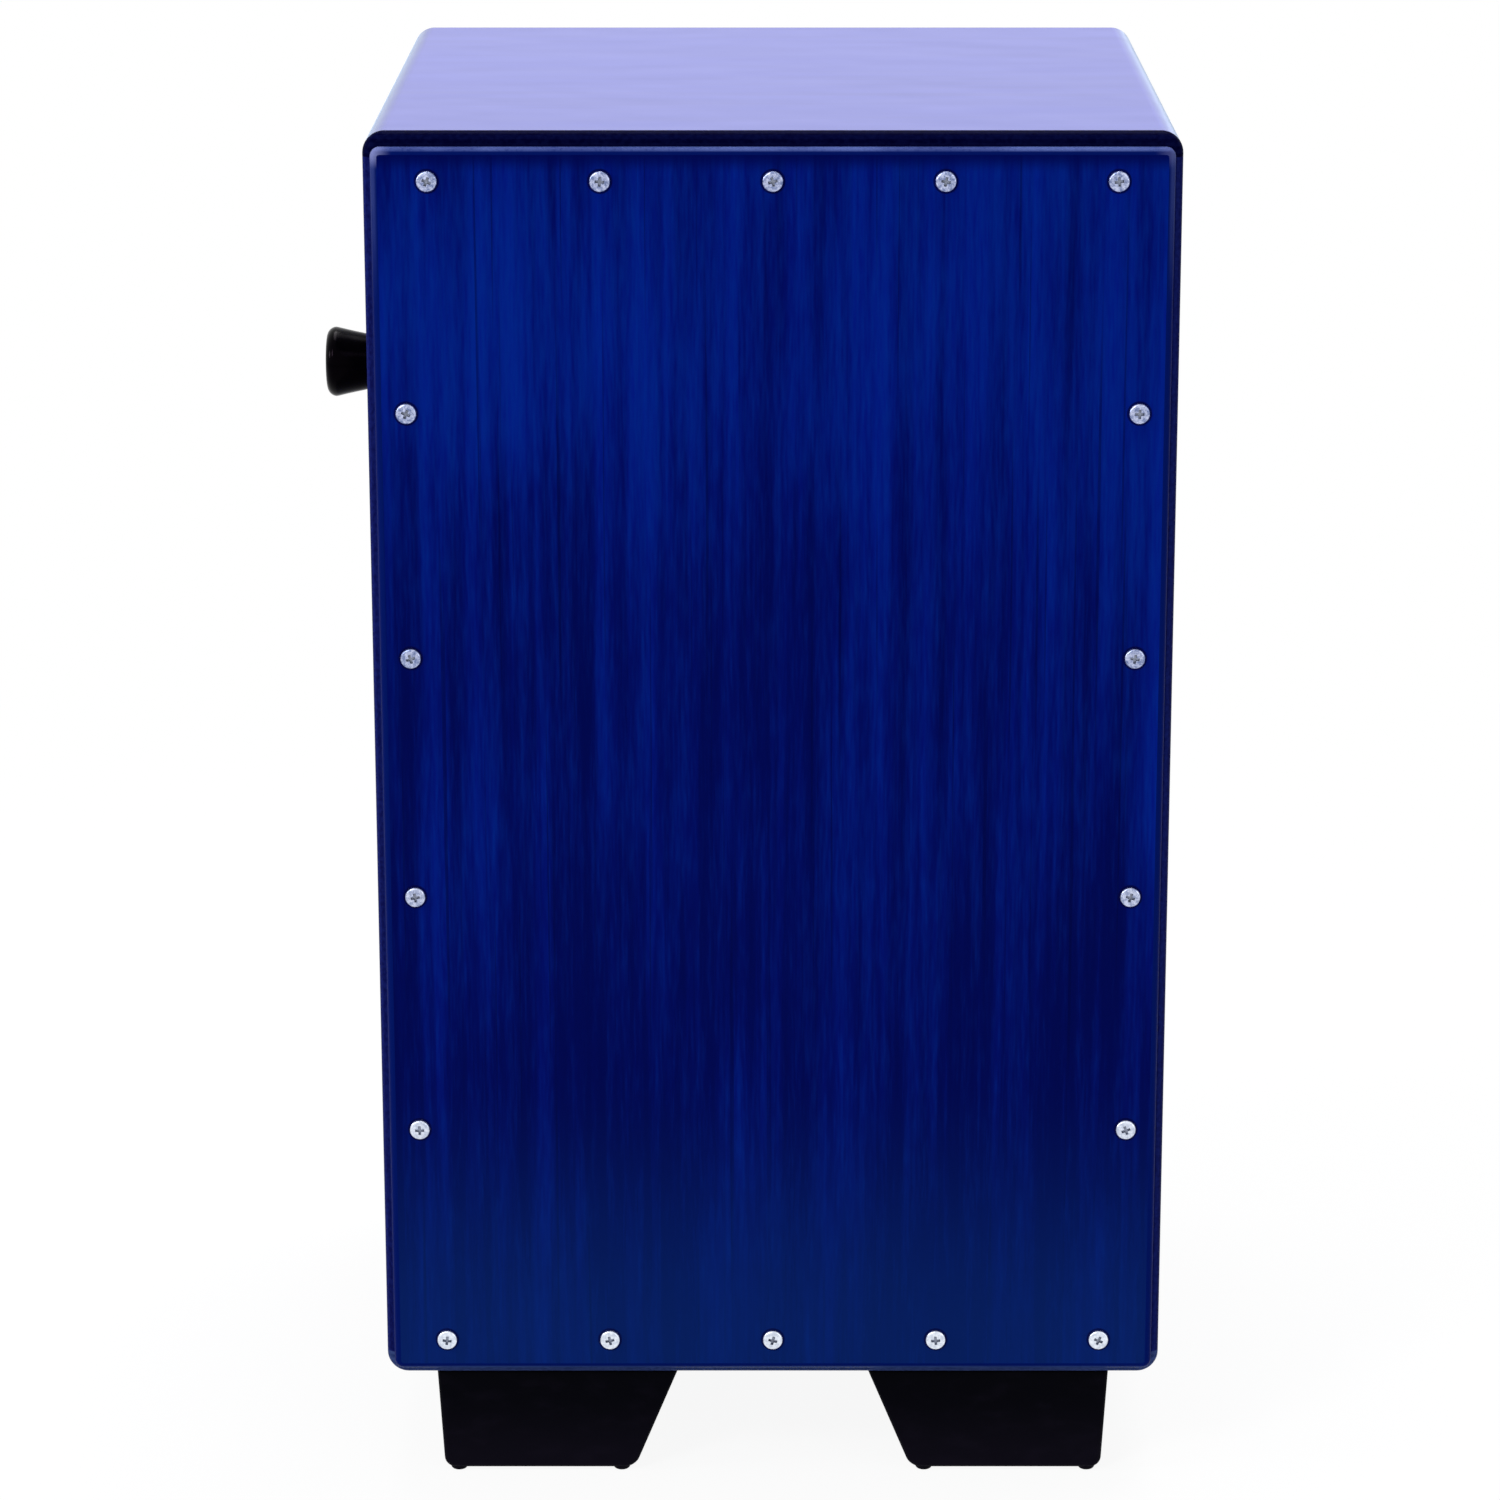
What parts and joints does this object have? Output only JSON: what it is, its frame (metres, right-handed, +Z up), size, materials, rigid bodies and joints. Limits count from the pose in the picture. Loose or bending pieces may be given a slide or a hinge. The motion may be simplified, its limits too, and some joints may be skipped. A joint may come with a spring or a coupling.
{
  "type": "snare cajon",
  "caption": "Wooden box drum to sit on, with a screwed playing board, a rear sound port, feet, and a side knob that swings snare wires off the board.",
  "frame": {"origin": "on the floor, at the middle of the part's overall length and width, knob and screw heads included", "axes": "-Y is the playing side, +X is to the right seen from there (the knob is on -X), +Z is up to the seat"},
  "size_m": [0.3066, 0.2916, 0.5108],
  "materials": {
    "stained_shell": "blue-stained plywood under glossy lacquer",
    "stained_board": "blue-stained veneer with vertical grain under glossy lacquer",
    "pine_strip": "planed, unfinished",
    "beech": "sanded, oiled",
    "black_rubber": "matte moulded",
    "black_knob": "glossy moulded",
    "nylon_bush": "satin",
    "zinc_screw": "bright zinc plate",
    "bright_steel": "ground bar",
    "snare_steel": "drawn spring wire"
  },
  "bodies": {
    "drum_box": {"top_panel": "stained_shell", "bottom_panel": "stained_shell", "left_side_panel": "stained_shell", "right_side_panel": "stained_shell", "back_panel": "stained_shell", "front_top_strip": "pine_strip", "front_bottom_strip": "pine_strip", "front_left_strip": "pine_strip", "front_right_strip": "pine_strip", "back_top_strip": "pine_strip", "back_bottom_strip": "pine_strip", "back_left_strip": "pine_strip", "back_right_strip": "pine_strip", "playing_board": "stained_board", "playing_board_screw_01": "zinc_screw", "playing_board_screw_02": "zinc_screw", "playing_board_screw_03": "zinc_screw", "playing_board_screw_04": "zinc_screw", "playing_board_screw_05": "zinc_screw", "playing_board_screw_06": "zinc_screw", "playing_board_screw_07": "zinc_screw", "playing_board_screw_08": "zinc_screw", "playing_board_screw_09": "zinc_screw", "playing_board_screw_10": "zinc_screw", "playing_board_screw_11": "zinc_screw", "playing_board_screw_12": "zinc_screw", "playing_board_screw_13": "zinc_screw", "playing_board_screw_14": "zinc_screw", "playing_board_screw_15": "zinc_screw", "playing_board_screw_16": "zinc_screw", "playing_board_screw_17": "zinc_screw", "playing_board_screw_18": "zinc_screw", "front_left_foot": "black_rubber", "front_right_foot": "black_rubber", "rear_left_foot": "black_rubber", "rear_right_foot": "black_rubber", "front_left_foot_screw_1": "zinc_screw", "front_left_foot_screw_2": "zinc_screw", "front_right_foot_screw_1": "zinc_screw", "front_right_foot_screw_2": "zinc_screw", "rear_left_foot_screw_1": "zinc_screw", "rear_left_foot_screw_2": "zinc_screw", "rear_right_foot_screw_1": "zinc_screw", "rear_right_foot_screw_2": "zinc_screw", "shaft_bush": "nylon_bush", "shaft_bearing_block": "beech"},
    "snare_throw": {"snare_knob": "black_knob", "knob_grub_screw": "zinc_screw", "snare_shaft": "bright_steel", "snare_bar": "beech", "bar_set_screw": "zinc_screw", "snare_wires_1": "snare_steel", "snare_wires_2": "snare_steel", "snare_wires_3": "snare_steel", "snare_plate_screw_1": "zinc_screw", "snare_plate_screw_2": "zinc_screw", "snare_plate_screw_3": "zinc_screw", "snare_plate_screw_4": "zinc_screw", "snare_plate_screw_5": "zinc_screw", "snare_plate_screw_6": "zinc_screw"}
  },
  "joints": [
    {"name": "snare_knob_turn", "type": "hinge", "parent": "drum_box", "child": "snare_throw", "pos_m": [0.0083, -0.10515, 0.4218], "axis": [1, 0, 0], "range_deg": [0, 45]}
  ]
}
